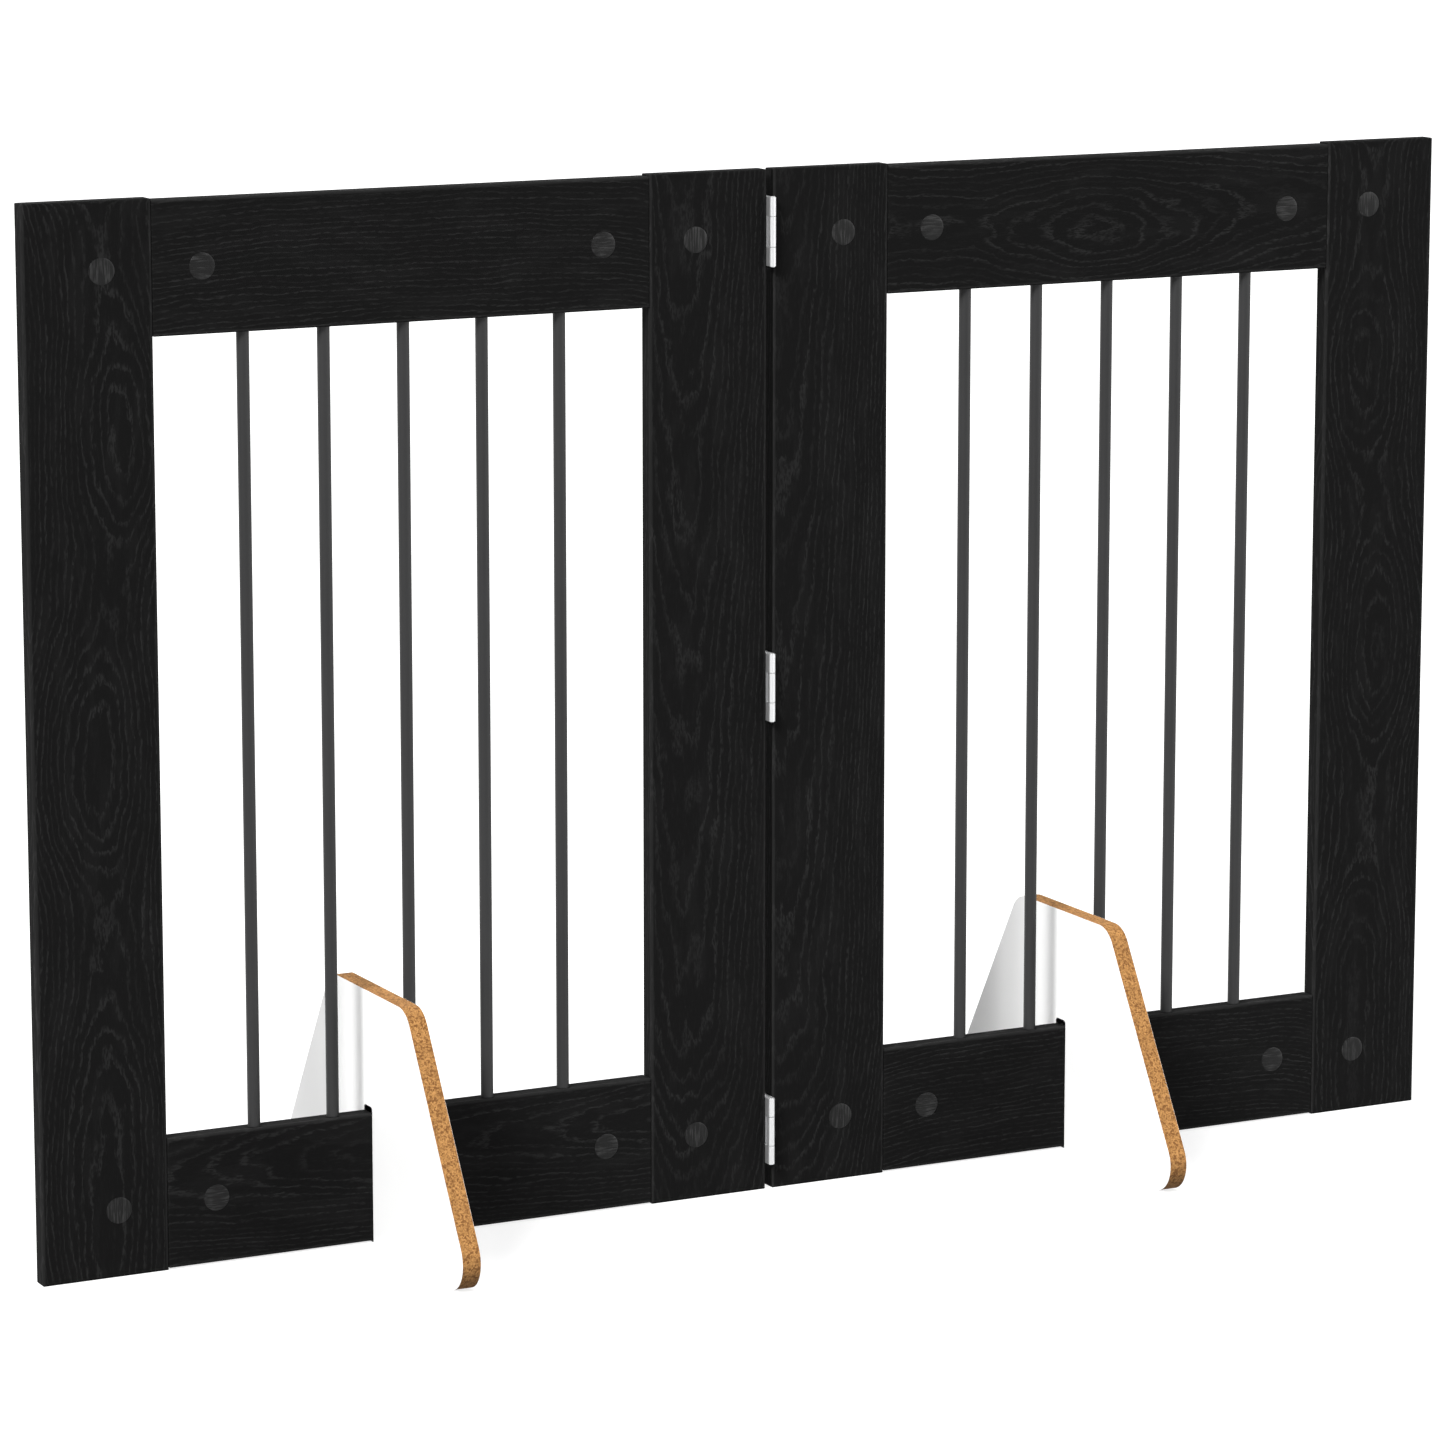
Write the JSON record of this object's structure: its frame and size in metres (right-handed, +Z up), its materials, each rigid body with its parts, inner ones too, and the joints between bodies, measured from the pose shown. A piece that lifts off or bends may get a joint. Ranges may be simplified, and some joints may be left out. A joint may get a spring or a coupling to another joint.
{
  "type": "pet gate",
  "caption": "Free-standing folding pet gate: two black wood-effect frames with vertical bars, hinged together, on slip-on feet.",
  "frame": {"origin": "on the floor, midway between the ends of the gate, in the middle of the hinge gap and of the boards' thickness", "axes": "+X along the gate, +Y to the back (the hinges and cover caps are on the front), +Z up"},
  "size_m": [1.055, 0.298, 0.7],
  "materials": {
    "black_board": "black embossed wood grain, satin",
    "cap": "black wood-effect stick-on disc, satin",
    "bar": "dark grey powder coat",
    "foot_board": "white glossy faces, bare fibreboard edges",
    "hinge": "bright zinc plate",
    "fitting": "plain zinc",
    "dowel": "plain beech"
  },
  "bodies": {
    "left_panel": {"left_outer_stile": "black_board", "left_inner_stile": "black_board", "left_top_rail": "black_board", "left_bottom_rail": "black_board", "left_bar_1": "bar", "left_bar_2": "bar", "left_bar_3": "bar", "left_bar_4": "bar", "left_bar_5": "bar", "left_cam_locks": "fitting", "left_cam_bolts": "fitting", "left_dowels": "dowel", "left_cover_caps": "cap", "left_hinge_screws": "hinge", "bottom_hinge_left_leaf": "hinge", "bottom_hinge_pin": "hinge", "middle_hinge_left_leaf": "hinge", "middle_hinge_pin": "hinge", "top_hinge_left_leaf": "hinge", "top_hinge_pin": "hinge"},
    "right_panel": {"right_inner_stile": "black_board", "right_outer_stile": "black_board", "right_top_rail": "black_board", "right_bottom_rail": "black_board", "right_bar_1": "bar", "right_bar_2": "bar", "right_bar_3": "bar", "right_bar_4": "bar", "right_bar_5": "bar", "right_cam_locks": "fitting", "right_cam_bolts": "fitting", "right_dowels": "dowel", "right_cover_caps": "cap", "right_hinge_screws": "hinge", "bottom_hinge_right_leaf": "hinge", "middle_hinge_right_leaf": "hinge", "top_hinge_right_leaf": "hinge"},
    "left_foot": {"left_foot": "foot_board"},
    "right_foot": {"right_foot": "foot_board"}
  },
  "joints": [
    {"name": "fold", "type": "hinge", "parent": "left_panel", "child": "right_panel", "pos_m": [0, -0.0097, 0.35], "axis": [0, 0, -1], "range_deg": [0, 135]},
    {"name": "left_foot_lift", "type": "slide", "parent": "left_panel", "child": "left_foot", "axis": [0, 0, 1], "range_m": [0, 0.092]},
    {"name": "right_foot_lift", "type": "slide", "parent": "right_panel", "child": "right_foot", "axis": [0, 0, 1], "range_m": [0, 0.092]}
  ]
}
